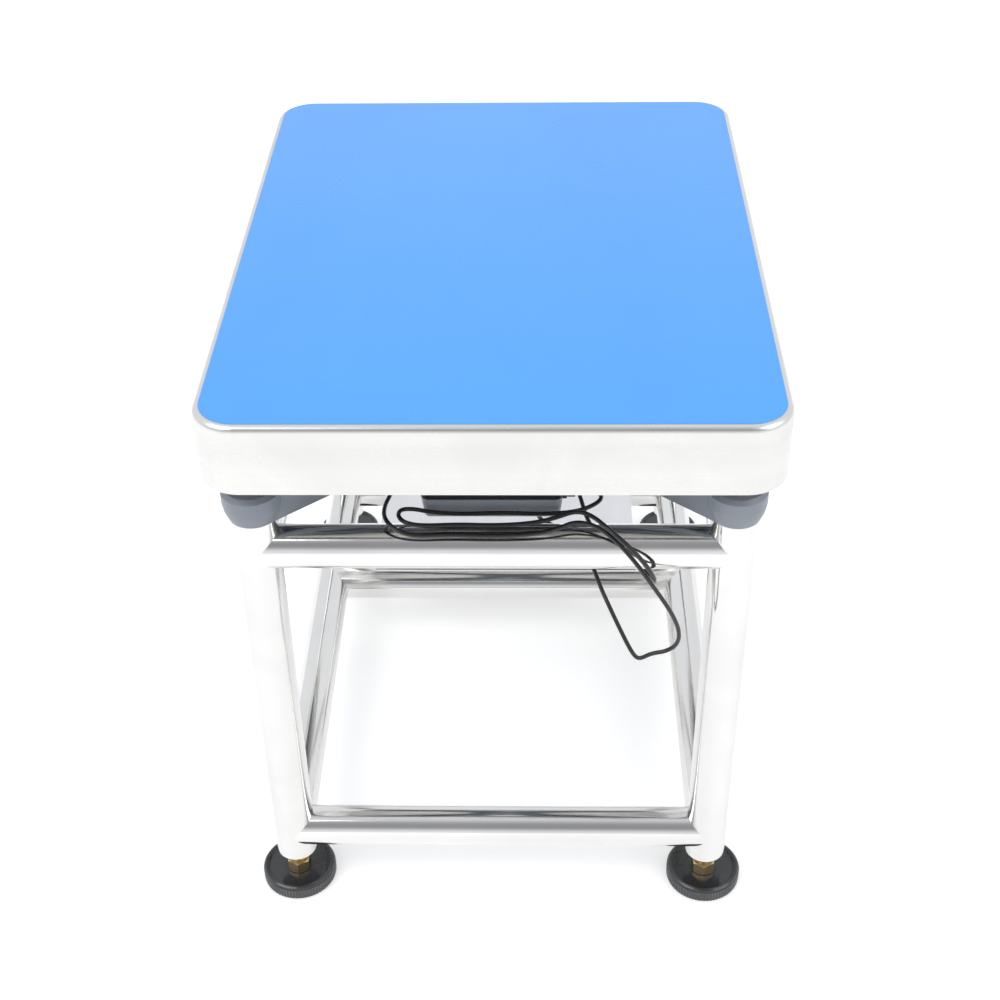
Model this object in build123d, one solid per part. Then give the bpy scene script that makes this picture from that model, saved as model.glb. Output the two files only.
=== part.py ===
from build123d import *
import os
from math import atan2, cos, degrees, pi, radians, sin, sqrt, tan

# Poultry platform scale: a stainless weighing platter on a four-legged tube stand.
# Millimetres. The origin is on the floor under the middle of the platter.
# +X is the front view's right, +Y runs to the back, +Z is up.

# Platter
platter_width = 400.0
platter_length = 520.0
platter_height = 473.0
pan_skirt = 54.0
pan_sheet = 1.2
pan_corner_radius = 31.0
pan_fold_radius = 5.0
film_thickness = 0.2
film_inset = 4.7

# Stand: one size of round tube throughout
tube_od = 32.0
tube_wall = 1.5
leg_inset = 32.0
leg_bottom_height = 33.0
bottom_rail_height = 58.0
top_rail_drop = 50.0
cross_rail_back_offset = 81.0

# Levelling feet
foot_diameter = 60.0
foot_height = 12.5
foot_base_chamfer = 1.0
foot_shoulder_drop = 2.2
foot_dish_floor = 8.0
foot_rim_width = 5.0
foot_boss_radius = 11.0
foot_boss_height = 3.0
flute_count = 72
flute_depth = 0.6
flute_root_gap = 0.1
stud_diameter = 10.0
stud_seat_height = 4.8
stud_clearance = 0.05
jam_nut_flats = 17.0
jam_nut_height = 8.0
seat_gap = 0.1
foot_travel = 18.0
thread_engagement = 16.0

# Cast spiders and the load cell between them
casting_wall = 4.0
casting_skin = 5.0
lower_spider_drop = 73.0
lower_spider_depth = 22.0
cup_clearance = 0.15
cup_wall = 5.0
cup_drop = 1.0
cup_dome = 4.0
cup_lip = 1.4
spine_half_length = 100.0
spine_width = 78.0
arm_root_width = 44.0
arm_tip_width = 32.0
rib_thickness = 3.0
cell_length = 150.0
cell_width = 40.0
cell_height = 34.0
cell_hole_radius = 9.5
cell_hole_offset = 15.0
cell_slot_height = 5.0
spacer_thickness = 4.0
cell_bolt_diameter = 6.0
cell_bolt_inset = 12.0
cell_bolt_pitch = 20.0
cell_bolt_depth = 14.0
bolt_head_ratio = 1.6
bolt_clearance = 0.3
pad_thickness = 3.0
pad_diameter = 26.0
upper_tip_inset_x = 62.0
upper_tip_inset_y = 66.0
upper_spine_half_length = 88.0
upper_arm_tip_width = 30.0
stop_diameter = 8.0
stop_gap = 0.8
stop_x = 58.0
cell_gland_x = 11.0
cell_gland_inset = 13.0

# Junction box under the front of the lower spider
box_centre_x = -2.0
box_width = 101.0
box_depth = 52.0
box_front_gap = 4.0
box_drop = 42.0
box_base_height = 17.5
box_seal_height = 2.0
box_lid_height = 11.0
box_draft = 7.0
box_corner = 6.0
gland_diameter = 14.0
gland_length = 10.0
bracket_thickness = 2.0
bracket_width = 34.0
bracket_step_back_offset = 26.0
bracket_screw_inset = 8.0
small_screw_diameter = 4.0

# Shelf over the back rails
shelf_width = 250.0
shelf_sheet = 1.5
shelf_lip = 12.0

# Cable
cable_diameter = 3.2
cable_corner_share = 0.45
cable_straight_exit = 8.0

# Places worked out from the sizes above: the spider hangs below the platter's top, and the top
# rails and the junction box hang below the spider's top
lower_spider_top = platter_height - lower_spider_drop
top_rail_height = lower_spider_top - top_rail_drop
box_bottom_height = lower_spider_top - box_drop
leg_x = platter_width / 2 - leg_inset
leg_y = platter_length / 2 - leg_inset
tube_radius = tube_od / 2
tube_bore = tube_radius - tube_wall
spider_bottom = lower_spider_top - lower_spider_depth
leg_top_height = lower_spider_top - casting_skin
insert_length = foot_travel + thread_engagement
rib_bottom = spider_bottom + 2.0
lower_seat = rib_bottom + cell_bolt_diameter
leg_places = {"front_left": (-leg_x, -leg_y), "front_right": (leg_x, -leg_y),
              "rear_left": (-leg_x, leg_y), "rear_right": (leg_x, leg_y)}
pan_underside = platter_height - pan_sheet
cell_bottom = lower_spider_top + spacer_thickness
cell_top = cell_bottom + cell_height
upper_spider_bottom = cell_top + spacer_thickness
upper_spider_top = pan_underside - pad_thickness
upper_rib_bottom = upper_spider_bottom + 2.0
upper_seat = upper_spider_top - cell_bolt_diameter - 1
bolt_head_radius = cell_bolt_diameter * bolt_head_ratio / 2
pad_length = cell_bolt_inset + cell_bolt_pitch + cell_bolt_diameter * 2
stud_radius = stud_diameter / 2
stud_bore = stud_radius + stud_clearance
nut_bottom = foot_dish_floor + foot_boss_height + seat_gap
stud_top = leg_bottom_height + insert_length - casting_wall - seat_gap

made = {}


def keep(name, shape):
    """Hold one finished node until all of them are written."""
    made[name] = shape
    return shape


def rod(start, direction, radius, length):
    """A round bar from a point along a direction."""
    return Solid.make_cylinder(radius, length, Plane(origin=start, z_dir=direction))


def tube(start, direction, length, outer=tube_radius, inner=tube_bore):
    """A round tube with an open bore."""
    return rod(start, direction, outer, length) - rod(start, direction, inner, length)


def block(width, depth, height, x=0.0, y=0.0, z=0.0):
    """A box that stands on height z, centred on x and y."""
    return Pos(x, y, z) * Box(width, depth, height, align=(Align.CENTER, Align.CENTER, Align.MIN))


def hexagon(flats, height, x, y, z, trimmed=False):
    """A hexagon prism, one corner to the front; its top tips may be trimmed by a shallow cone."""
    prism = Pos(x, y, z) * extrude(RegularPolygon(flats / 2, 6, major_radius=False, rotation=30), height)
    if not trimmed:
        return prism
    tip = flats / 2 / cos(pi / 6)
    trim = Pos(x, y, z) * Cylinder(tip, height, align=(Align.CENTER, Align.CENTER, Align.MIN))
    return prism & chamfer(trim.edges().sort_by(Axis.Z)[-1], tip - flats / 2)


# Stand

def leg(x, y):
    """One leg, from its foot insert up into its cup."""
    return tube((x, y, leg_bottom_height), (0, 0, 1), leg_top_height - leg_bottom_height)


def leg_envelope(x, y):
    return rod((x, y, 0), (0, 0, 1), tube_radius, platter_height)


def coped_rail(start, end, cutters):
    """A rail between two axes, with each end cut to sit on the tubes that it meets."""
    span = Vector(*end) - Vector(*start)
    rail = tube(start, tuple(span.normalized()), span.length)
    for cutter in cutters:
        rail -= cutter
    return max(rail.solids(), key=lambda piece: piece.volume)


def rail_level(level, height):
    """Four rails at one height: the side rails are coped to the legs and to the end rails."""
    legs = [leg_envelope(x, y) for x, y in leg_places.values()]
    for name, y in (("front", -leg_y), ("rear", leg_y)):
        keep(f"{level}_rail_{name}", coped_rail((-leg_x, y, height), (leg_x, y, height), legs))
    ends = [rod((-leg_x, y, height), (1, 0, 0), tube_radius, 2 * leg_x) for y in (-leg_y, leg_y)]
    for name, x in (("left", -leg_x), ("right", leg_x)):
        keep(f"{level}_rail_{name}",
             coped_rail((x, -leg_y, height), (x, leg_y, height), legs + ends))


for place, (x, y) in leg_places.items():
    keep(f"leg_{place}", leg(x, y))
rail_level("top", top_rail_height)
rail_level("bottom", bottom_rail_height)
side_rails = [rod((x, -leg_y, bottom_rail_height), (0, 1, 0), tube_radius, 2 * leg_y)
              for x in (-leg_x, leg_x)]
keep("cross_rail", coped_rail((-leg_x, cross_rail_back_offset, bottom_rail_height),
                              (leg_x, cross_rail_back_offset, bottom_rail_height), side_rails))


# Levelling feet

def leg_insert(x, y):
    """A plug pressed into the leg's end, with a blind bore for the foot's stud."""
    plug = rod((x, y, leg_bottom_height), (0, 0, 1), tube_bore, insert_length)
    bore_depth = insert_length - casting_wall
    return plug - rod((x, y, leg_bottom_height), (0, 0, 1), stud_bore, bore_depth)


def foot_stud(x, y):
    """A plain stand-in for the threaded stud, bevelled at its top end."""
    stud = rod((x, y, stud_seat_height), (0, 0, 1), stud_radius, stud_top - stud_seat_height)
    return chamfer(stud.edges().filter_by(GeomType.CIRCLE).sort_by(Axis.Z)[-1], 1.0)


def foot_disc(x, y):
    """A moulded disc with a fluted rim, a dished floor and a boss round the stud."""
    radius = foot_diameter / 2
    core = radius - flute_depth - flute_root_gap
    rim_inner = radius - foot_rim_width
    shoulder = foot_height - foot_shoulder_drop
    outline = []
    for step in range(2 * flute_count):
        angle = pi * step / flute_count
        reach = radius if step % 2 == 0 else radius - flute_depth
        outline.append((reach * cos(angle), reach * sin(angle)))
    band = Pos(0, 0, foot_base_chamfer) * extrude(make_face(Polyline(*outline, close=True)),
                                                  shoulder - foot_base_chamfer)
    section = Polyline((0, 0), (core - foot_base_chamfer, 0), (core, foot_base_chamfer),
                       (core, shoulder), (core - 0.5, foot_height - 0.7),
                       (core - 1.7, foot_height), (rim_inner + 0.8, foot_height - 0.4),
                       (rim_inner, foot_height - 1.6), (rim_inner - 1.5, foot_dish_floor + 0.8),
                       (rim_inner - 4.5, foot_dish_floor),
                       (foot_boss_radius + 1.5, foot_dish_floor),
                       (foot_boss_radius, foot_dish_floor + foot_boss_height),
                       (0, foot_dish_floor + foot_boss_height), close=True)
    disc = band + revolve(Plane.XZ * make_face(section), Axis.Z)
    disc -= rod((0, 0, stud_seat_height - seat_gap), (0, 0, 1), stud_bore, foot_height)
    return Pos(x, y, 0) * disc


def jam_nut(x, y):
    nut = hexagon(jam_nut_flats, jam_nut_height, x, y, nut_bottom, trimmed=True)
    return nut - rod((x, y, 0), (0, 0, 1), stud_bore, leg_bottom_height)


for place, (x, y) in leg_places.items():
    keep(f"foot_stud_{place}", foot_stud(x, y))
    keep(f"foot_disc_{place}", foot_disc(x, y))
    keep(f"jam_nut_{place}", jam_nut(x, y))
keep("leg_inserts", Compound([leg_insert(x, y) for x, y in leg_places.values()]))


# Cast spiders

def tapered_arm(start, end, root_width, tip_width, z, height):
    """A straight arm, wide at its root and narrow at its tip, standing on height z."""
    angle = degrees(atan2(end[1] - start[1], end[0] - start[0]))
    reach = sqrt((end[0] - start[0]) ** 2 + (end[1] - start[1]) ** 2)
    plan = Polyline((0, -root_width / 2), (reach, -tip_width / 2), (reach, tip_width / 2),
                    (0, root_width / 2), close=True)
    return Pos(start[0], start[1], z) * Rot(0, 0, angle) * extrude(make_face(plan), height)


def spider_plan(tips, half_length, width, root_width, tip_width, z, height, shrink=0.0):
    """Arms from the two ends of a spine; shrink draws every side in by one amount."""
    body = block(width - 2 * shrink, 2 * (half_length - shrink), height, z=z)
    root_offset = half_length - root_width / 2
    for tip_x, tip_y in tips:
        root = (0.0, root_offset if tip_y > 0 else -root_offset)
        body += tapered_arm(root, (tip_x, tip_y), root_width - 2 * shrink, tip_width - 2 * shrink,
                            z, height)
    return body


def rib_lattice(tips, half_length, width, z, height):
    """Ribs down the middle of every arm and a ladder of zigzag ribs in the spine."""
    ribs = block(rib_thickness, 2 * half_length, height, z=z)
    for tip_x, tip_y in tips:
        side = 1 if tip_y > 0 else -1
        ribs += tapered_arm((0.0, side * half_length * 0.7), (tip_x, tip_y), rib_thickness,
                            rib_thickness, z, height)
    bays = 4
    bay = 2 * half_length / bays
    for number in range(bays):
        y = -half_length + bay * (number + 0.5)
        for turn in (1, -1):
            slope = degrees(atan2(turn * bay, width))
            diagonal = block(sqrt(bay ** 2 + width ** 2), rib_thickness, height)
            ribs += Pos(0, y, z) * Rot(0, 0, slope) * diagonal
    return ribs


def bolt_rows(side):
    """The places of one end's bolts along the load cell."""
    end = cell_length / 2 - cell_bolt_inset
    return [side * end, side * (end - cell_bolt_pitch)]


def cup(x, y):
    """A rounded socket over one leg top, closed above and tucked in at its lower lip."""
    bore = tube_radius + cup_clearance
    outer = bore + cup_wall
    lip_z = spider_bottom + cup_drop
    roof = lower_spider_top + cup_dome
    half = make_face(Polyline((0, lip_z), (bore + cup_lip, lip_z), (outer - 1.0, lip_z + 7.0),
                              (outer, lip_z + 13.0), (outer, roof - 3.0), (outer - 3.0, roof),
                              (0, roof), close=True))
    solid = revolve(Plane.XZ * half, Axis.Z)
    return Pos(x, y, 0) * solid


def lower_spider():
    tips = list(leg_places.values())
    spread = (spine_half_length, spine_width, arm_root_width, arm_tip_width)
    inside = lower_spider_depth - casting_skin
    body = spider_plan(tips, *spread, spider_bottom, lower_spider_depth)
    hollow = spider_plan(tips, *spread, spider_bottom - 1, inside + 1, shrink=casting_wall)
    body -= hollow
    ribs = rib_lattice(tips, spine_half_length, spine_width, rib_bottom, inside)
    body += ribs & hollow
    pad_front = -spine_half_length + casting_wall / 2
    pad_back = -cell_length / 2 + pad_length
    body += block(cell_width, pad_back - pad_front, lower_spider_top - rib_bottom,
                  y=(pad_front + pad_back) / 2, z=rib_bottom)
    for x, y in tips:
        body += cup(x, y)
    bore = tube_radius + cup_clearance
    for x, y in tips:
        body -= rod((x, y, spider_bottom - 2), (0, 0, 1), bore, leg_top_height - spider_bottom + 2)
        body -= rod((x, y, spider_bottom), (0, 0, 1), small_screw_diameter / 2, platter_height)
    for y in bolt_rows(-1):
        body -= rod((0, y, spider_bottom), (0, 0, 1), cell_bolt_diameter / 2, lower_spider_depth)
        body -= rod((0, y, spider_bottom), (0, 0, 1), bolt_head_radius + bolt_clearance,
                    lower_seat - spider_bottom)
    for x, y in stop_places():
        body -= rod((x, y, spider_bottom), (0, 0, 1), stop_diameter / 2, lower_spider_depth)
    for x, y in bracket_screw_places():
        body -= rod((x, y, spider_bottom), (0, 0, 1), small_screw_diameter / 2, lower_spider_depth)
    return body


def arm_middle(x, tip, half_length, root_width):
    """How far back an arm's middle line is at one distance across."""
    root = half_length - root_width / 2
    return root + x * (tip[1] - root) / tip[0]


def stop_places():
    """Four places where the lower arms lie under the upper ones."""
    lower = arm_middle(stop_x, (leg_x, leg_y), spine_half_length, arm_root_width)
    upper = arm_middle(stop_x, upper_tips()[-1], upper_spine_half_length, arm_root_width)
    y = (lower + upper) / 2
    return [(side * stop_x, end * y) for side in (-1, 1) for end in (-1, 1)]


def bracket_screw_places():
    return [(side * bracket_width / 4, -spine_half_length + bracket_screw_inset)
            for side in (-1, 1)]


def upper_tips():
    x = platter_width / 2 - upper_tip_inset_x
    y = platter_length / 2 - upper_tip_inset_y
    return [(sx * x, sy * y) for sx in (-1, 1) for sy in (-1, 1)]


def upper_spider():
    """The casting under the platter: plate on top, ribs below, pads on its four tips."""
    height = upper_spider_top - upper_spider_bottom
    tips = upper_tips()
    spread = (upper_spine_half_length, spine_width, arm_root_width, upper_arm_tip_width)
    body = spider_plan(tips, *spread, upper_spider_bottom, height)
    for x, y in tips:
        body += rod((x, y, upper_spider_bottom), (0, 0, 1), upper_arm_tip_width / 2, height)
    inside = height - casting_skin
    hollow = spider_plan(tips, *spread, upper_spider_bottom - 1, inside + 1, shrink=casting_wall)
    body -= hollow
    ribs = rib_lattice(tips, upper_spine_half_length, spine_width, upper_rib_bottom, inside)
    body += ribs & hollow
    body += block(cell_width, pad_length, height - 1, y=(cell_length - pad_length) / 2,
                  z=upper_spider_bottom)
    for y in bolt_rows(1):
        body -= rod((0, y, upper_spider_bottom), (0, 0, 1),
                    cell_bolt_diameter / 2 + bolt_clearance, height)
        body -= rod((0, y, upper_seat), (0, 0, 1), bolt_head_radius + bolt_clearance, height)
    return body


keep("lower_spider", lower_spider())
keep("upper_spider", upper_spider())


# Load cell, spacers and their screws

def load_cell():
    """A single-point beam: two round windows joined by a slot leave thin flexing walls."""
    beam = block(cell_width, cell_length, cell_height, z=cell_bottom)
    middle = cell_bottom + cell_height / 2
    for side in (-1, 1):
        beam -= rod((-cell_width, side * cell_hole_offset, middle), (1, 0, 0), cell_hole_radius,
                    2 * cell_width)
    beam -= block(2 * cell_width, 2 * cell_hole_offset, cell_slot_height,
                  z=middle - cell_slot_height / 2)
    for y in bolt_rows(-1):
        beam -= rod((0, y, cell_bottom), (0, 0, 1), cell_bolt_diameter / 2, cell_bolt_depth)
    for y in bolt_rows(1):
        beam -= rod((0, y, cell_top - cell_bolt_depth), (0, 0, 1),
                    cell_bolt_diameter / 2 + bolt_clearance, cell_bolt_depth)
    return beam


def spacer(side, z, clearance):
    plate = block(cell_width, pad_length, spacer_thickness,
                  y=side * (cell_length - pad_length) / 2, z=z)
    for y in bolt_rows(side):
        plate -= rod((0, y, z), (0, 0, 1), cell_bolt_diameter / 2 + clearance, spacer_thickness)
    return plate


def cap_screw(x, y, seat, direction, diameter, length):
    """A socket cap screw: its head's underside is on the seat, its shank runs the other way."""
    head_radius = diameter * bolt_head_ratio / 2
    head = rod((x, y, seat), (0, 0, direction), head_radius, diameter)
    shank = rod((x, y, seat), (0, 0, -direction), diameter / 2, length)
    socket = Pos(x, y, seat + direction * diameter * 0.75) * extrude(
        RegularPolygon(diameter * 0.42, 6), diameter / 2, dir=(0, 0, direction), both=True)
    return head + shank - socket


keep("load_cell", load_cell())
keep("lower_spacer", spacer(-1, lower_spider_top, 0.0))
keep("upper_spacer", spacer(1, cell_top, bolt_clearance))
keep("lower_cell_bolts", Compound([
    cap_screw(0, y, lower_seat, -1, cell_bolt_diameter, cell_bottom + cell_bolt_depth - 1 - lower_seat)
    for y in bolt_rows(-1)]))
keep("upper_cell_bolts", Compound([
    cap_screw(0, y, upper_seat, 1, cell_bolt_diameter, upper_seat - cell_top + cell_bolt_depth - 1)
    for y in bolt_rows(1)]))


def overload_stop(x, y):
    """A headless screw through the lower spider, with its lock nut, just short of the upper one."""
    top = upper_rib_bottom - stop_gap
    screw = rod((x, y, rib_bottom), (0, 0, 1), stop_diameter / 2, top - rib_bottom)
    return screw + hexagon(stop_diameter * 1.6, stop_diameter * 0.8, x, y, lower_spider_top)


keep("overload_stops", Compound([overload_stop(x, y) for x, y in stop_places()]))
keep("leg_top_plugs", Compound([
    rod((x, y, leg_top_height), (0, 0, -1), tube_bore, insert_length / 2)
    - rod((x, y, leg_top_height), (0, 0, -1), small_screw_diameter / 2, insert_length / 3)
    for x, y in leg_places.values()]))
keep("leg_top_screws", Compound([
    cap_screw(x, y, lower_spider_top + cup_dome, 1, small_screw_diameter,
              cup_dome + casting_skin + insert_length / 3 - 1)
    for x, y in leg_places.values()]))
keep("platter_pads", Compound([
    rod((x, y, upper_spider_top), (0, 0, 1), pad_diameter / 2, pad_thickness)
    for x, y in upper_tips()]))


# Platter

def rounded_slab(width, length, radius, height, z):
    return Pos(0, 0, z) * extrude(RectangleRounded(width, length, radius), height)


def platter_pan():
    """A deep-folded sheet lid, open below, with a soft fold all round its top."""
    bottom = platter_height - pan_skirt
    outer = rounded_slab(platter_width, platter_length, pan_corner_radius, pan_skirt, bottom)
    outer = fillet(outer.faces().sort_by(Axis.Z)[-1].edges(), pan_fold_radius)
    inner = rounded_slab(platter_width - 2 * pan_sheet, platter_length - 2 * pan_sheet,
                         pan_corner_radius - pan_sheet, pan_skirt - pan_sheet, bottom)
    inner = fillet(inner.faces().sort_by(Axis.Z)[-1].edges(), pan_fold_radius - pan_sheet)
    return outer - inner


keep("platter_pan", platter_pan())
keep("platter_film", rounded_slab(platter_width - 2 * film_inset, platter_length - 2 * film_inset,
                                  pan_corner_radius - film_inset, film_thickness, platter_height))


# Junction box on its bracket

box_front = -leg_y + tube_radius + box_front_gap
box_middle_y = box_front + box_depth / 2
box_seal_z = box_bottom_height + box_base_height
box_lid_z = box_seal_z + box_seal_height
box_top = box_lid_z + box_lid_height
gland_y = box_front + 24.0
box_gland_z = box_bottom_height + 9.0


def box_gland(start, direction):
    """A cable gland: hexagon, dome and a bore for the cable."""
    hexed = Plane(origin=start, z_dir=direction) * extrude(RegularPolygon(gland_diameter / 2, 6), 4.0)
    dome = rod(start, direction, gland_diameter * 0.38, gland_length)
    return hexed + dome


def junction_box():
    """A drafted, hollow base with rounded corners, narrower at its floor and cut for its glands."""
    top_plan = Pos(box_centre_x, box_middle_y, box_seal_z) * RectangleRounded(
        box_width, box_depth, box_corner)
    base = extrude(top_plan, box_base_height, dir=(0, 0, -1), taper=box_draft)
    base = fillet(base.faces().sort_by(Axis.Z)[0].edges(), 3.0)
    cavity_plan = Pos(box_centre_x, box_middle_y, box_seal_z) * RectangleRounded(
        box_width - 5, box_depth - 5, box_corner - 2)
    base -= extrude(cavity_plan, box_base_height - 2.5, dir=(0, 0, -1), taper=box_draft)
    for name, (start, direction) in box_glands.items():
        base -= box_gland(start, direction)
    return base


def box_slab(inset, height, z):
    plan = RectangleRounded(box_width - 2 * inset, box_depth - 2 * inset, box_corner - inset)
    return Pos(box_centre_x, box_middle_y, z) * extrude(plan, height)


def draft_inset(height):
    """How far the drafted wall stands in from the box's rim at a height above the floor."""
    return (box_base_height - height) * tan(radians(box_draft))


gland_wall_inset = draft_inset(box_gland_z - box_bottom_height)
right_wall = box_centre_x + box_width / 2 - gland_wall_inset
rear_wall = box_front + box_depth - gland_wall_inset
box_glands = {
    "gland_right": ((right_wall, gland_y, box_gland_z), (1, 0, 0)),
    "gland_rear": ((box_centre_x - 28.0, rear_wall, box_gland_z), (0, 1, 0)),
    "gland_floor": ((box_centre_x + 32.0, gland_y + 8.0, box_bottom_height), (0, 0, -1)),
}
cell_gland = ((cell_gland_x, -spine_half_length + cell_gland_inset, rib_bottom), (0, 0, -1))
glands = dict(box_glands, gland_spider=cell_gland)
for name, (start, direction) in glands.items():
    keep(name, box_gland(start, direction))
keep("junction_box_base", junction_box())
keep("junction_box_seal", box_slab(1.2, box_seal_height, box_seal_z)
     - box_slab(3.4, box_seal_height, box_seal_z))
lid = box_slab(0.0, box_lid_height, box_lid_z)
keep("junction_box_lid", chamfer(lid.faces().sort_by(Axis.Z)[-1].edges(), 1.0))


def box_bracket():
    """A folded strap: flat on the spine's front end, down a step and out over the box lid."""
    back = -spine_half_length + bracket_screw_inset * 2
    step = -spine_half_length - bracket_step_back_offset
    front = box_front + box_depth / 4
    lug = block(bracket_width, back - step, bracket_thickness, y=(back + step) / 2,
                z=lower_spider_top)
    drop = block(bracket_width, bracket_thickness, lower_spider_top + bracket_thickness - box_top,
                 y=step - bracket_thickness / 2, z=box_top)
    arm = block(bracket_width, step - front, bracket_thickness, y=(step + front) / 2, z=box_top)
    strap = lug + drop + arm
    for x, y in bracket_screw_places():
        strap -= rod((x, y, lower_spider_top), (0, 0, 1), small_screw_diameter / 2,
                     bracket_thickness)
    return strap


keep("box_bracket", box_bracket())
keep("bracket_screws", Compound([
    cap_screw(x, y, lower_spider_top + bracket_thickness, 1, small_screw_diameter, casting_skin + 4)
    for x, y in bracket_screw_places()]))


# Shelf over the cross rail and the rear rail

def shelf():
    """A thin tray on the two back rails, its front and rear edges folded down behind them."""
    front = cross_rail_back_offset
    back = leg_y + tube_radius + 1.0
    z = bottom_rail_height + tube_radius
    plate = block(shelf_width, back - front, shelf_sheet, y=(front + back) / 2, z=z)
    plate += block(shelf_width, shelf_sheet, shelf_lip, y=back - shelf_sheet / 2, z=z - shelf_lip)
    return plate


keep("shelf", shelf())


# Cables: routes chosen by hand, one diameter clear of whatever they cross, with heights taken
# from the top rails' axis

signal_cable_points = [
    (-35.0, -132.0, 16.5), (-45.0, -124.5, 16.5), (-57.0, -128.0, 17.0), (-64.0, -139.0, 17.5),
    (-68.0, -156.0, 18.0), (-71.0, -175.0, 19.5), (-75.0, -196.0, 21.5), (-78.0, -214.0, 24.0),
    (-77.0, -229.0, 25.5), (-69.0, -239.0, 23.0), (-56.0, -242.0, 19.5), (-32.0, -240.0, 19.5),
    (0.0, -241.0, 19.0), (30.0, -240.0, 20.0), (45.0, -236.0, 22.0), (57.0, -231.0, 24.5),
    (72.0, -235.0, 23.5), (86.0, -244.5, 16.5), (98.0, -250.5, 4.0), (107.5, -253.0, -10.0),
    (117.0, -254.0, -25.0), (126.0, -254.0, -41.0), (132.0, -253.0, -58.0), (131.5, -252.0, -71.0),
    (124.0, -251.0, -79.0), (113.0, -250.0, -82.0), (105.0, -249.0, -88.5), (101.0, -247.5, -87.0),
    (96.0, -244.0, -79.0), (89.0, -237.0, -66.5), (83.0, -229.0, -56.5), (77.0, -217.0, -49.0),
    (72.5, -205.0, -42.5), (67.0, -195.0, -33.0), (56.0, -185.5, -23.0), (42.0, -178.5, -20.0),
    (33.0, -176.5, -17.0)]
load_cell_cable_points = [
    (75.0, -189.0, 18.0), (76.5, -199.0, 20.0), (69.5, -208.0, 20.5), (57.0, -213.0, 18.8),
    (34.0, -213.8, 17.5), (5.0, -213.0, 18.2), (-23.0, -213.8, 17.4), (-45.0, -213.0, 18.5),
    (-58.0, -211.5, 20.5), (-66.5, -215.0, 22.5), (-68.0, -224.0, 23.5), (-62.0, -231.0, 22.5),
    (-49.0, -232.0, 21.0), (-26.0, -230.5, 21.2), (2.0, -231.5, 21.0), (28.0, -229.5, 21.6),
    (44.0, -225.5, 23.6), (57.0, -221.0, 26.0), (68.0, -229.0, 28.5), (79.0, -241.0, 26.0),
    (92.5, -251.0, 19.0), (104.0, -255.0, 7.0), (111.5, -254.0, -7.0), (113.0, -245.5, -19.0),
    (111.0, -232.0, -25.5), (104.0, -216.0, -27.5), (91.0, -202.0, -28.0), (77.0, -190.0, -24.5),
    (67.0, -178.0, -16.0), (62.0, -163.0, -5.0), (56.0, -146.0, 4.0), (44.0, -127.0, 8.0),
    (28.0, -108.0, 8.5), (16.0, -93.0, 9.5)]


def gland_mouth(name):
    start, direction = glands[name]
    return Vector(*start) + Vector(*direction) * gland_length


def cable_route(points, first_gland, last_gland):
    """The route from one gland's mouth to the other's, straight out of both."""
    ends = []
    for name in (first_gland, last_gland):
        mouth = gland_mouth(name)
        ends.append([mouth, mouth + Vector(*glands[name][1]) * cable_straight_exit])
    rail = Vector(0, 0, top_rail_height)
    return ends[0] + [Vector(*point) + rail for point in points] + ends[1][::-1]


def cable(name, corners):
    """A round cable: straight runs joined by arcs as large as the two runs allow."""
    bends = []
    for before, here, after in zip(corners, corners[1:], corners[2:]):
        turn = radians((here - before).get_angle(after - here))
        shorter = min((here - before).length, (after - here).length)
        bends.append(cable_corner_share * shorter / tan(turn / 2))
    path = FilletPolyline(*corners, radius=bends)
    section = Plane(origin=path @ 0, z_dir=path % 0) * Circle(cable_diameter / 2)
    solid = sweep(section, path=path)
    area = pi * cable_diameter ** 2 / 4
    print(name, "length", round(path.length, 1), "tightest", round(min(bends), 1),
          "volume ratio", round(solid.volume / (area * path.length), 4))
    print([round(bend, 1) for bend in bends])
    return solid


keep("signal_cable", cable("signal_cable", cable_route(signal_cable_points, "gland_rear",
                                                       "gland_floor")))
keep("load_cell_cable", cable("load_cell_cable", cable_route(load_cell_cable_points,
                                                             "gland_right", "gland_spider")))

os.makedirs("parts", exist_ok=True)
for name, shape in made.items():
    export_step(shape, f"parts/{name}.step")
print(len(made), "nodes")
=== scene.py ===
import bmesh
import bpy
from math import cos, pi, radians, sin, sqrt, tau
from mathutils import Matrix, Vector


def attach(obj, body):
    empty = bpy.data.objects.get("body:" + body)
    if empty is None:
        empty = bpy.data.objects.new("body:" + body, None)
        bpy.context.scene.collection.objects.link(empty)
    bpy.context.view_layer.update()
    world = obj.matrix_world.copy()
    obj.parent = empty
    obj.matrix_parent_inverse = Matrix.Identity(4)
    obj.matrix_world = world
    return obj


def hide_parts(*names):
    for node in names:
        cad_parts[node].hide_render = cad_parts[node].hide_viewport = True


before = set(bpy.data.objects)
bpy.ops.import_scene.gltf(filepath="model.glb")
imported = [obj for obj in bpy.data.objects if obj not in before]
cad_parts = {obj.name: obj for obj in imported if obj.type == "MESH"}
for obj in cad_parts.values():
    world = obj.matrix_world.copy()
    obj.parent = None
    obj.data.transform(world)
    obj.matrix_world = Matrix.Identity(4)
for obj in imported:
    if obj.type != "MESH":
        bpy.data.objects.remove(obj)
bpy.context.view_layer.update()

MM = 0.001
PLACES = ("front_left", "front_right", "rear_left", "rear_right")


# Small helpers

def shade(red, green, blue):
    """A colour as it is seen on a screen, 0 to 255, turned into the linear colour of a material."""
    def linear(value):
        value /= 255
        return value / 12.92 if value <= 0.04045 else ((value + 0.055) / 1.055) ** 2.4
    return (linear(red), linear(green), linear(blue), 1.0)


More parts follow.
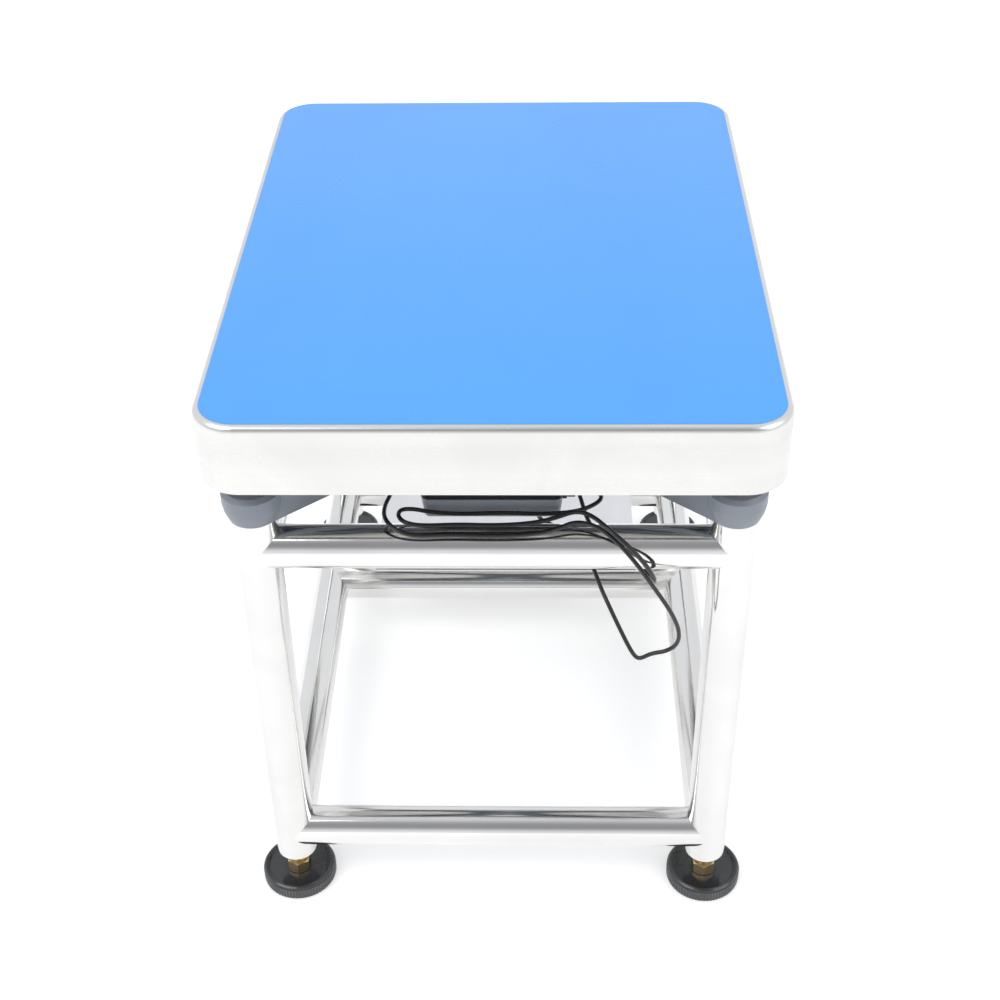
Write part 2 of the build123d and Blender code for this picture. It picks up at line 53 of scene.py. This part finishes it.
def add(tree, kind, settings=None, **inputs):
    """One node. Each input is a plain value or a socket to link from; N0, N1 are inputs by number."""
    made = tree.nodes.new(kind)
    for key, value in (settings or {}).items():
        setattr(made, key, value)
    for key, value in inputs.items():
        numbered = key[0] == "N" and key[1:].isdigit()
        socket = made.inputs[int(key[1:])] if numbered else made.inputs[key.replace("_", " ")]
        if isinstance(value, bpy.types.NodeSocket):
            tree.links.new(value, socket)
        else:
            socket.default_value = value
    return made


def math(tree, operation, first, second=0.0):
    return add(tree, "ShaderNodeMath", {"operation": operation}, N0=first, N1=second).outputs[0]


def spread(tree, value, low, high):
    """A mask from 0 to 1 spread between two values."""
    return add(tree, "ShaderNodeMapRange", None, Value=value, To_Min=low, To_Max=high).outputs[0]


def blend_colour(tree, mask, first, second):
    return add(tree, "ShaderNodeMix", {"data_type": "RGBA"}, N0=mask, N6=first, N7=second).outputs[2]


def group(name, inputs, outputs):
    """A shader node group with named number inputs and named outputs."""
    tree = bpy.data.node_groups.new(name, "ShaderNodeTree")
    for label, value in inputs.items():
        kind = "NodeSocketVector" if isinstance(value, tuple) else "NodeSocketFloat"
        socket = tree.interface.new_socket(label, in_out="INPUT", socket_type=kind)
        socket.default_value = value
    for label in outputs:
        tree.interface.new_socket(label, in_out="OUTPUT", socket_type="NodeSocketFloat")
    return tree, tree.nodes.new("NodeGroupInput").outputs, tree.nodes.new("NodeGroupOutput").inputs


def place_group(tree, shared, **inputs):
    return add(tree, "ShaderNodeGroup", {"node_tree": shared}, **inputs).outputs


def object_coordinates(tree):
    return tree.nodes.new("ShaderNodeTexCoord").outputs["Object"]


# Effects that several finishes share

def brushed_grain_group():
    """Fine lines drawn out along one direction, with broader soft bands in them."""
    tree, given, result = group("Brushed grain", {"Place": (0.0, 0.0, 0.0), "Stretch": (1.0, 1.0, 1.0)},
                                ("Lines", "Bands"))
    drawn = add(tree, "ShaderNodeVectorMath", {"operation": "MULTIPLY"}, N0=given[0], N1=given[1]).outputs[0]
    lines = add(tree, "ShaderNodeTexNoise", None, Vector=drawn, Scale=1.0, Detail=5.0, Roughness=0.62)
    broad = add(tree, "ShaderNodeVectorMath", {"operation": "MULTIPLY"}, N0=drawn,
                N1=(0.14, 0.14, 0.14)).outputs[0]
    bands = add(tree, "ShaderNodeTexNoise", None, Vector=broad, Scale=1.0, Detail=2.0)
    tree.links.new(lines.outputs[0], result[0])
    tree.links.new(bands.outputs[0], result[1])
    return tree


def handling_marks_group():
    """Soft smears and small sharper spots, as hands and wiping leave them."""
    tree, given, result = group("Handling marks", {"Size": 1.0, "Coverage": 0.5}, ("Smears", "Spots"))
    place = object_coordinates(tree)
    scale = math(tree, "DIVIDE", 9.0, given[0])
    cloud = add(tree, "ShaderNodeTexNoise", None, Vector=place, Scale=scale, Detail=6.0,
                Roughness=0.55, Distortion=0.8)
    low = math(tree, "SUBTRACT", 1.0, given[1])
    smears = add(tree, "ShaderNodeMapRange", {"interpolation_type": "SMOOTHSTEP"},
                 Value=cloud.outputs[0], From_Min=math(tree, "MULTIPLY", low, 0.62), From_Max=0.72)
    fine = add(tree, "ShaderNodeTexNoise", None, Vector=place, Scale=math(tree, "MULTIPLY", scale, 14.0),
               Detail=3.0)
    spots = add(tree, "ShaderNodeMapRange", {"interpolation_type": "SMOOTHSTEP"},
                Value=fine.outputs[0], From_Min=0.62, From_Max=0.74)
    tree.links.new(smears.outputs[0], result[0])
    tree.links.new(spots.outputs[0], result[1])
    return tree


def orange_peel_group():
    """The low rounded bumps of a sprayed or moulded skin, with a finer speckle."""
    tree, given, result = group("Orange peel", {"Bumps": 500.0, "Speckle": 1600.0},
                                ("Height", "Grains"))
    place = object_coordinates(tree)
    bumps = add(tree, "ShaderNodeTexNoise", None, Vector=place, Scale=given[0], Detail=1.5)
    speckle = add(tree, "ShaderNodeTexNoise", None, Vector=place, Scale=given[1], Detail=2.0)
    tree.links.new(bumps.outputs[0], result[0])
    tree.links.new(speckle.outputs[0], result[1])
    return tree


BRUSHED = brushed_grain_group()
MARKS = handling_marks_group()
PEEL = orange_peel_group()


def finish(name):
    """A new material: its tree and its main shader."""
    material = bpy.data.materials.new(name)
    material.use_nodes = True
    tree = material.node_tree
    return material, tree, tree.nodes["Principled BSDF"].inputs


def bump(tree, shader, height, strength, distance):
    made = add(tree, "ShaderNodeBump", None, Strength=strength, Distance=distance, Height=height)
    tree.links.new(made.outputs[0], shader["Normal"])


def steel(name, light, dark, rough_low, rough_high, stretch, line_depth, mark_size=1.0):
    """Stainless steel whose grain is drawn out by the given stretch along X, Y and Z."""
    material, tree, shader = finish(name)
    grain = place_group(tree, BRUSHED, Place=object_coordinates(tree), Stretch=stretch)
    marks = place_group(tree, MARKS, Size=mark_size, Coverage=0.45)
    tint = math(tree, "ADD", math(tree, "MULTIPLY", grain["Bands"], 0.7),
                math(tree, "MULTIPLY", marks["Smears"], 0.25))
    tree.links.new(blend_colour(tree, tint, light, dark), shader["Base Color"])
    worn = math(tree, "ADD", math(tree, "MULTIPLY", grain["Lines"], 0.6),
                math(tree, "MULTIPLY", marks["Smears"], 0.4))
    tree.links.new(spread(tree, worn, rough_low, rough_high), shader["Roughness"])
    shader["Metallic"].default_value = 1.0
    bump(tree, shader, grain["Lines"], line_depth, 0.0002)
    return material


def coated(name, light, dark, rough_low, rough_high, bumps, depth, mark_size=1.0, coat=0.0):
    """Paint, powder coat or moulded plastic with a peel and faint handling marks."""
    material, tree, shader = finish(name)
    peel = place_group(tree, PEEL, Bumps=bumps, Speckle=bumps * 3.2)
    marks = place_group(tree, MARKS, Size=mark_size, Coverage=0.5)
    tint = math(tree, "ADD", math(tree, "MULTIPLY", peel["Grains"], 0.5),
                math(tree, "MULTIPLY", marks["Smears"], 0.5))
    tree.links.new(blend_colour(tree, tint, light, dark), shader["Base Color"])
    tree.links.new(spread(tree, marks["Smears"], rough_low, rough_high), shader["Roughness"])
    shader["Coat Weight"].default_value = coat
    shader["Coat Roughness"].default_value = 0.08
    bump(tree, shader, peel["Height"], depth, 0.0003)
    return material


def protective_film():
    """Clear blue film over bright steel: a glossy skin with faint lengthwise drag lines."""
    material, tree, shader = finish("blue protective film")
    place = object_coordinates(tree)
    drag = place_group(tree, BRUSHED, Place=place, Stretch=(110.0, 3.0, 3.0))
    marks = place_group(tree, MARKS, Size=2.2, Coverage=0.4)
    tint = math(tree, "ADD", math(tree, "MULTIPLY", drag["Bands"], 0.35),
                math(tree, "MULTIPLY", marks["Smears"], 0.12))
    tree.links.new(blend_colour(tree, tint, shade(44, 155, 243), shade(30, 140, 232)),
                   shader["Base Color"])
    tree.links.new(spread(tree, marks["Smears"], 0.22, 0.34), shader["Roughness"])
    shader["Metallic"].default_value = 0.0
    shader["IOR"].default_value = 1.6
    shader["Coat Weight"].default_value = 0.6
    shader["Coat Roughness"].default_value = 0.12
    swell = add(tree, "ShaderNodeTexNoise", None, Vector=place, Scale=7.0, Detail=1.0)
    height = math(tree, "ADD", math(tree, "MULTIPLY", drag["Lines"], 0.05), swell.outputs[0])
    bump(tree, shader, height, 0.05, 0.004)
    return material


WHITE_STEEL = (0.86, 0.85, 0.83, 1.0)
GREY_STEEL = (0.66, 0.655, 0.65, 1.0)

tube_along_x = steel("polished tube along X", WHITE_STEEL, GREY_STEEL, 0.07, 0.17, (7.0, 260.0, 260.0), 0.10)
tube_along_y = steel("polished tube along Y", WHITE_STEEL, GREY_STEEL, 0.07, 0.17, (260.0, 7.0, 260.0), 0.10)
tube_upright = steel("polished tube upright", WHITE_STEEL, GREY_STEEL, 0.07, 0.17, (260.0, 260.0, 7.0), 0.10)
pan_steel = steel("satin pan steel", (0.80, 0.79, 0.77, 1.0), (0.62, 0.615, 0.60, 1.0), 0.20, 0.36,
                  (9.0, 9.0, 420.0), 0.25)
sheet_steel = steel("bright sheet steel", (0.82, 0.82, 0.83, 1.0), (0.70, 0.70, 0.72, 1.0), 0.14, 0.30,
                    (420.0, 9.0, 9.0), 0.15)
screw_steel = steel("turned screw steel", (0.66, 0.65, 0.63, 1.0), (0.48, 0.47, 0.46, 1.0), 0.24, 0.40,
                    (500.0, 500.0, 900.0), 0.3, 0.2)
zinc_yellow = steel("yellow zinc plate", (0.70, 0.55, 0.28, 1.0), (0.48, 0.36, 0.20, 1.0), 0.24, 0.42,
                    (300.0, 300.0, 700.0), 0.35, 0.15)
aluminium = steel("machined aluminium", (0.80, 0.80, 0.81, 1.0), (0.66, 0.66, 0.68, 1.0), 0.30, 0.42,
                  (500.0, 12.0, 500.0), 0.3)
film_blue = protective_film()
casting_grey = coated("blue-grey powder coat", shade(150, 157, 165), shade(126, 133, 143), 0.36, 0.50,
                      420.0, 0.35)
# Painted light: the box's grey is made lighter than the spider's blue-grey, which is the same grey on the
# real thing, to stand in for light on the box's shaded front face.
box_grey_lightened_as_painted_light = coated("box grey lightened as painted light", shade(168, 175, 182), shade(148, 155, 164), 0.38, 0.52,
                  700.0, 0.25)
# Painted shade: the lid is coloured near black so the thin strip between the box's grey face and the pan's
# skirt comes out dark, the way the shade there looks.
lid_dark_as_painted_shade = coated("box lid darkened as painted shade", shade(34, 35, 40), shade(24, 25, 30), 0.30, 0.45, 900.0, 0.2)
gland_black = coated("black moulded nylon", shade(26, 27, 31), shade(16, 17, 20), 0.28, 0.42, 1200.0, 0.2)
foot_black = coated("glossy black foot", shade(40, 42, 45), shade(26, 28, 31), 0.16, 0.34, 900.0, 0.15,
                    0.4, 0.4)
pad_rubber = coated("black rubber", shade(30, 30, 31), shade(20, 20, 21), 0.62, 0.78, 800.0, 0.4)
cable_black = coated("black cable jacket", shade(20, 20, 23), shade(11, 11, 13), 0.26, 0.40, 900.0, 0.15,
                     0.3, 0.25)

LOOKS = {
    tube_along_x: ("top_rail_front", "top_rail_rear", "bottom_rail_front", "bottom_rail_rear", "cross_rail"),
    tube_along_y: ("top_rail_left", "top_rail_right", "bottom_rail_left", "bottom_rail_right"),
    tube_upright: tuple(f"leg_{place}" for place in PLACES),
    pan_steel: ("platter_pan",),
    sheet_steel: ("shelf", "box_bracket"),
    screw_steel: ("leg_top_screws", "lower_cell_bolts", "upper_cell_bolts", "overload_stops",
                  "bracket_screws", "leg_inserts"),
    zinc_yellow: tuple(f"{kind}_{place}" for kind in ("foot_stud", "jam_nut") for place in PLACES),
    aluminium: ("load_cell", "lower_spacer", "upper_spacer"),
    film_blue: ("platter_film",),
    casting_grey: ("lower_spider", "upper_spider"),
    box_grey_lightened_as_painted_light: ("junction_box_base",),
    lid_dark_as_painted_shade: ("junction_box_lid",),
    gland_black: ("gland_right", "gland_rear", "gland_floor", "gland_spider", "leg_top_plugs"),
    foot_black: tuple(f"foot_disc_{place}" for place in PLACES),
    pad_rubber: ("platter_pads", "junction_box_seal"),
}
for look, names in LOOKS.items():
    for name in names:
        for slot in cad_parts[name].material_slots:
            slot.material = look


# Cables: control points of one smooth line each, from gland to gland

CABLE_DIAMETER = 3.2
SIGNAL_CABLE = (
    (-35.0, -132.0, 366.5), (-45.0, -124.5, 366.5), (-57.0, -128.0, 367.0), (-64.0, -139.0, 367.5),
    (-68.0, -156.0, 368.0), (-71.0, -175.0, 369.5), (-75.0, -196.0, 371.5), (-78.0, -214.0, 374.0),
    (-77.0, -229.0, 375.5), (-69.0, -239.0, 373.0), (-56.0, -242.0, 369.5), (-32.0, -240.0, 369.5),
    (0.0, -241.0, 369.0), (30.0, -240.0, 370.0), (45.0, -236.0, 372.0), (57.0, -231.0, 374.5),
    (72.0, -235.0, 373.5), (86.0, -244.5, 366.5), (98.0, -250.5, 354.0), (107.5, -253.0, 340.0),
    (117.0, -254.0, 325.0), (126.0, -254.0, 309.0), (132.0, -253.0, 292.0), (131.5, -252.0, 279.0),
    (124.0, -251.0, 271.0), (113.0, -250.0, 268.0), (105.0, -249.0, 261.5), (101.0, -247.5, 263.0),
    (96.0, -244.0, 271.0), (89.0, -237.0, 283.5), (83.0, -229.0, 293.5), (77.0, -217.0, 301.0),
    (72.5, -205.0, 307.5), (67.0, -195.0, 317.0), (56.0, -185.5, 327.0), (42.0, -178.5, 330.0),
    (33.0, -176.5, 333.0))
LOAD_CELL_CABLE = (
    (75.0, -189.0, 368.0), (76.5, -199.0, 370.0), (69.5, -208.0, 370.5), (57.0, -213.0, 368.8),
    (34.0, -213.8, 367.5), (5.0, -213.0, 368.2), (-23.0, -213.8, 367.4), (-45.0, -213.0, 368.5),
    (-58.0, -211.5, 370.5), (-66.5, -215.0, 372.5), (-68.0, -224.0, 373.5), (-62.0, -231.0, 372.5),
    (-49.0, -232.0, 371.0), (-26.0, -230.5, 371.2), (2.0, -231.5, 371.0), (28.0, -229.5, 371.6),
    (44.0, -225.5, 373.6), (57.0, -221.0, 376.0), (68.0, -229.0, 378.5), (79.0, -241.0, 376.0),
    (92.5, -251.0, 369.0), (104.0, -255.0, 357.0), (111.5, -254.0, 343.0), (113.0, -245.5, 331.0),
    (111.0, -232.0, 324.5), (104.0, -216.0, 322.5), (91.0, -202.0, 322.0), (77.0, -190.0, 325.5),
    (67.0, -178.0, 334.0), (62.0, -163.0, 345.0), (56.0, -146.0, 354.0), (44.0, -127.0, 358.0),
    (28.0, -108.0, 358.5), (16.0, -93.0, 359.5))


def cable_line(name, points, first_mouth, last_mouth, straight_exit=8.0):
    """A smooth cable between two gland mouths, each given as its place and direction."""
    def leaving(mouth):
        place, direction = (Vector(part) for part in mouth)
        return [place, place + direction * straight_exit]

    route = leaving(first_mouth) + [Vector(point) for point in points] + leaving(last_mouth)[::-1]
    curve = bpy.data.curves.new(name, "CURVE")
    curve.dimensions = "3D"
    line = curve.splines.new("NURBS")
    line.points.add(len(route) - 1)
    for control, point in zip(line.points, route):
        control.co = (*(point * MM), 1.0)
    line.order_u = 3
    line.use_endpoint_u = True
    line.resolution_u = 10
    curve.bevel_depth = CABLE_DIAMETER / 2 * MM
    curve.bevel_resolution = 5
    curve.use_fill_caps = True
    cable = bpy.data.objects.new(name, curve)
    bpy.context.scene.collection.objects.link(cable)
    cable.data.materials.append(cable_black)
    return cable


GLAND_MOUTHS = {
    "gland_right": ((57.456, -184.0, 367.0), (1, 0, 0)),
    "gland_rear": ((-30.0, -147.044, 367.0), (0, 1, 0)),
    "gland_floor": ((30.0, -176.0, 348.0), (0, 0, -1)),
    "gland_spider": ((11.0, -87.0, 370.0), (0, 0, -1)),
}
for name, points, first, last, length in (
        ("signal_cable", SIGNAL_CABLE, "gland_rear", "gland_floor", 0.599),
        ("load_cell_cable", LOAD_CELL_CABLE, "gland_right", "gland_spider", 0.617)):
    cable = cable_line(f"{name}_line", points, GLAND_MOUTHS[first], GLAND_MOUTHS[last])
    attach(cable, "stand")
    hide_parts(name)


# Floor, light and camera

def pale_floor():
    """A wide pale floor: white to the eye and to gloss, and still dark where a shadow falls."""
    half = 6.0
    mesh = bpy.data.meshes.new("floor")
    mesh.from_pydata([(-half, -half, 0), (half, -half, 0), (half, half, 0), (-half, half, 0)], [],
                     [(0, 1, 2, 3)])
    floor = bpy.data.objects.new("floor", mesh)
    bpy.context.scene.collection.objects.link(floor)
    material, tree, shader = finish("pale floor")
    place = object_coordinates(tree)
    cloud = add(tree, "ShaderNodeTexNoise", None, Vector=place, Scale=30.0, Detail=3.0)
    tree.links.new(blend_colour(tree, cloud.outputs[0], (0.80, 0.80, 0.80, 1), (0.78, 0.78, 0.78, 1)),
                   shader["Base Color"])
    shader["Roughness"].default_value = 0.9
    ray = tree.nodes.new("ShaderNodeLightPath").outputs
    seen = math(tree, "MAXIMUM", ray["Is Camera Ray"],
                math(tree, "MAXIMUM", ray["Is Glossy Ray"], ray["Is Transmission Ray"]))
    tree.links.new(seen, shader["Emission Strength"])
    shader["Emission Color"].default_value = (0.42, 0.42, 0.42, 1.0)
    mesh.materials.append(material)


def soft_room():
    """The room's light: white where the eye looks past the object, softly uneven in reflections."""
    world = bpy.data.worlds.new("soft room")
    bpy.context.scene.world = world
    world.use_nodes = True
    tree = world.node_tree
    background = tree.nodes["Background"]
    direction = tree.nodes.new("ShaderNodeTexCoord").outputs["Generated"]
    axes = add(tree, "ShaderNodeSeparateXYZ", None, Vector=direction).outputs
    toward_front = add(tree, "ShaderNodeMapRange", {"interpolation_type": "SMOOTHSTEP"}, Value=axes[1],
                       From_Min=0.15, From_Max=-0.75).outputs[0]
    high = add(tree, "ShaderNodeMapRange", {"interpolation_type": "SMOOTHSTEP"}, Value=axes[2],
               From_Min=0.05, From_Max=0.55).outputs[0]
    dim = math(tree, "MULTIPLY", toward_front, high)
    room = blend_colour(tree, dim, (0.92, 0.94, 0.97, 1.0), (0.34, 0.345, 0.36, 1.0))
    ray = tree.nodes.new("ShaderNodeLightPath").outputs
    seen = math(tree, "MAXIMUM", ray["Is Camera Ray"], ray["Is Transmission Ray"])
    tree.links.new(blend_colour(tree, seen, room, (1.0, 1.0, 1.0, 1.0)), background.inputs["Color"])
    background.inputs["Strength"].default_value = 1.0


def soft_lamp(name, place, target, size, power):
    """A large square lamp aimed at a point."""
    light = bpy.data.lights.new(name, "AREA")
    light.shape = "SQUARE"
    light.size = size
    light.energy = power
    lamp = bpy.data.objects.new(name, light)
    lamp.location = place
    lamp.rotation_euler = (Vector(target) - Vector(place)).to_track_quat("-Z", "Y").to_euler()
    bpy.context.scene.collection.objects.link(lamp)


def front_camera():
    """The camera, from its place in millimetres, its three turns and its focal length in pixels."""
    place = Vector((29.91, -1124.21, 1068.58)) * MM
    yaw, pitch, roll = 0.028484, 0.647349, -0.016472
    focal_pixels, frame_pixels, film_width = 1623.29, 1000.0, 36.0
    forward = Vector((-sin(yaw) * cos(pitch), cos(yaw) * cos(pitch), -sin(pitch)))
    level = Vector((cos(yaw), sin(yaw), 0.0))
    upright = level.cross(forward)
    right = level * cos(roll) + upright * sin(roll)
    up = upright * cos(roll) - level * sin(roll)
    lens = bpy.data.cameras.new("front_camera")
    lens.sensor_width = film_width
    lens.lens = focal_pixels * film_width / frame_pixels
    lens.clip_start, lens.clip_end = 0.05, 50.0
    camera = bpy.data.objects.new("front_camera", lens)
    axes = Matrix((right, up, -forward)).transposed().to_4x4()
    camera.matrix_world = Matrix.Translation(place) @ axes
    bpy.context.scene.collection.objects.link(camera)
    bpy.context.scene.camera = camera


pale_floor()
soft_room()
soft_lamp("key_lamp", (-1.6, -1.2, 2.6), (0.0, 0.0, 0.3), 1.8, 34.0)
soft_lamp("fill_lamp", (1.8, -1.0, 2.0), (0.0, 0.0, 0.25), 1.6, 16.0)
front_camera()
bpy.context.scene.view_settings.view_transform = "Standard"
